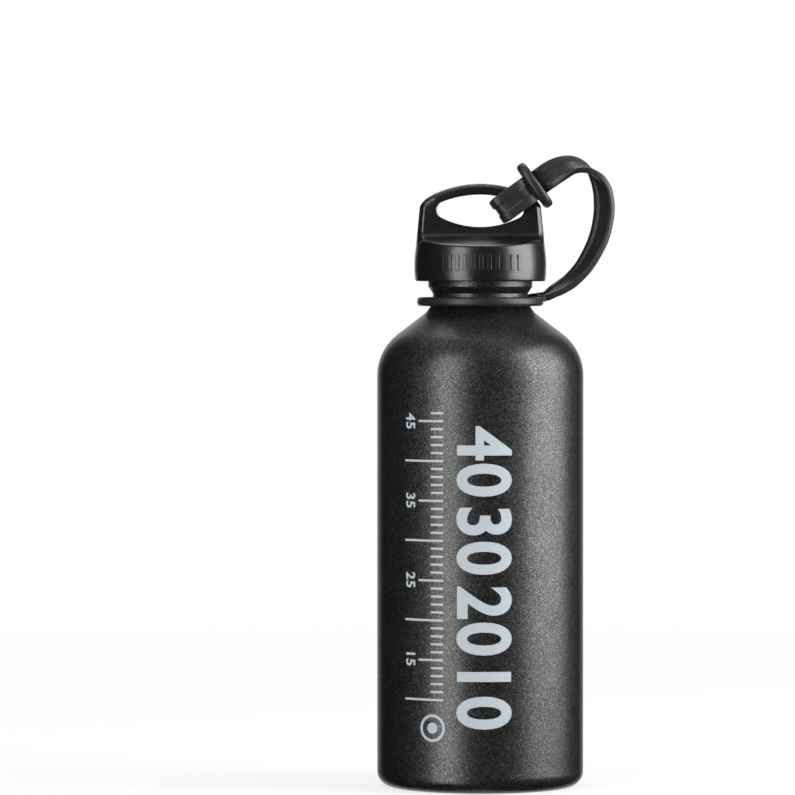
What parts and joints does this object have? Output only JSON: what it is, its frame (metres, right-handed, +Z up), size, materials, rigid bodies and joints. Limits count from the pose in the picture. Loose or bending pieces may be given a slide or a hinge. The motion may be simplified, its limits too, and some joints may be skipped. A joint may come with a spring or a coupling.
{
  "type": "camping fuel bottle",
  "caption": "Slim metal fuel bottle with a push-and-turn screw cap, a carry loop on the cap and a soft twisted strap that ties the cap to the neck.",
  "frame": {"origin": "middle of the circle the bottle stands on", "axes": "+Z up along the bottle and its screw axis, X along the cap's carry loop with the strap on the +X side, -Y towards the printed front"},
  "size_m": [0.0821, 0.071, 0.2174],
  "materials": {
    "coated_aluminium": "fine-grained dark grey powder coat",
    "cap_plastic": "satin black moulding",
    "stopper_plastic": "smooth dark moulding",
    "strap_rubber": "soft matt black rubber",
    "seal_rubber": "smooth seal rubber",
    "spring_steel": "drawn spring wire"
  },
  "bodies": {
    "bottle": {"bottle_shell": "coated_aluminium"},
    "tether": {"neck_ring": "strap_rubber", "strap": "strap_rubber"},
    "stopper": {"inner_stopper": "stopper_plastic", "seal_ring": "seal_rubber", "push_spring": "spring_steel", "strap_loop": "strap_rubber", "strap_keeper": "strap_rubber"},
    "cap": {"outer_cap": "cap_plastic", "retaining_ring": "stopper_plastic"}
  },
  "joints": [
    {"name": "cap_turn", "type": "hinge", "parent": "bottle", "child": "tether", "pos_m": [0, 0, 0.175], "axis": [0, 0, 1], "range_deg": [0, 1350.1]},
    {"name": "cap_rise", "type": "slide", "parent": "tether", "child": "stopper", "axis": [0, 0, 1], "range_m": [0, 0.01125], "deforming": ["strap"]},
    {"name": "cap_push", "type": "slide", "parent": "stopper", "child": "cap", "axis": [0, 0, -1], "range_m": [0, 0.001], "stiffness_N_per_m": 3000, "springref_m": -0.002, "deforming": ["push_spring"]}
  ],
  "couplings": [
    {"joint": "cap_turn", "follows": "cap_rise", "rad_per_m": 2094.4}
  ]
}
